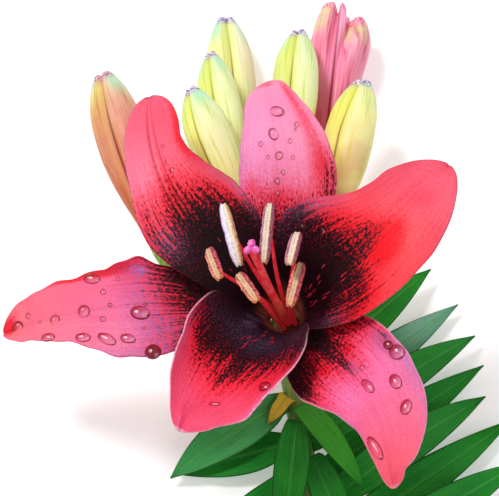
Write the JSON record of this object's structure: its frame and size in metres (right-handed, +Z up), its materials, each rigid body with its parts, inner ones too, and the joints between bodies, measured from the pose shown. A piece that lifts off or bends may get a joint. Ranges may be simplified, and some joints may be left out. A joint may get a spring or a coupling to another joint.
{
  "type": "lily flowering stem",
  "caption": "Cut flowering stem of a lily, lying flat: an open red bloom with a near-black centre, closed buds and narrow green leaves. For a bouquet or a still life.",
  "frame": {"origin": "on the surface that the stem lies on, at the middle of the stem's flat underside, below the foot of the bloom", "axes": "+Y along the lying stem towards its buds, +Z up from the surface towards the open bloom, +X to the right"},
  "size_m": [0.2143, 0.3497, 0.0913],
  "materials": {
    "stem": "smooth living stem, satin",
    "leaf": "waxy leaf, satin, with lengthwise veins",
    "tepal": "soft petal, satin, red with a near-black base",
    "filament": "smooth, satin",
    "anther": "dry and powdery",
    "pistil": "smooth, moist at the tip",
    "green_bud": "smooth bud skin, satin",
    "flushed_bud": "smooth bud skin, satin",
    "red_bud": "smooth bud skin, satin",
    "water": "clear beads of water"
  },
  "bodies": {
    "root": {"stem": "stem", "petal_right": "tepal", "sepal_top": "tepal", "petal_upper_left": "tepal", "sepal_left": "tepal", "petal_lower_left": "tepal", "sepal_lower_right": "tepal", "filament_1": "filament", "anther_1": "anther", "filament_2": "filament", "anther_2": "anther", "filament_3": "filament", "anther_3": "anther", "filament_4": "filament", "anther_4": "anther", "filament_5": "filament", "anther_5": "anther", "filament_6": "filament", "anther_6": "anther", "pistil": "pistil", "bud_left": "flushed_bud", "bud_back": "green_bud", "bud_middle": "green_bud", "bud_front": "green_bud", "bud_centre": "green_bud", "bud_right": "green_bud", "bud_opening": "red_bud", "leaf_01": "leaf", "leaf_02": "leaf", "leaf_03": "leaf", "leaf_04": "leaf", "leaf_05": "leaf", "leaf_06": "leaf", "leaf_07": "leaf", "leaf_08": "leaf", "leaf_09": "leaf", "leaf_10": "leaf", "leaf_11": "leaf", "leaf_12": "leaf", "leaf_13": "leaf", "leaf_14": "leaf", "leaf_15": "leaf", "leaf_16": "leaf", "leaf_17": "leaf", "leaf_18": "leaf", "leaf_19": "leaf", "leaf_20": "leaf", "leaf_21": "leaf", "leaf_22": "leaf", "leaf_23": "leaf", "leaf_24": "leaf", "leaf_25": "leaf", "leaf_26": "leaf", "leaf_27": "leaf", "leaf_28": "leaf", "leaf_29": "leaf", "leaf_30": "leaf", "leaf_31": "leaf", "leaf_32": "leaf", "leaf_33": "leaf"}
  },
  "joints": []
}
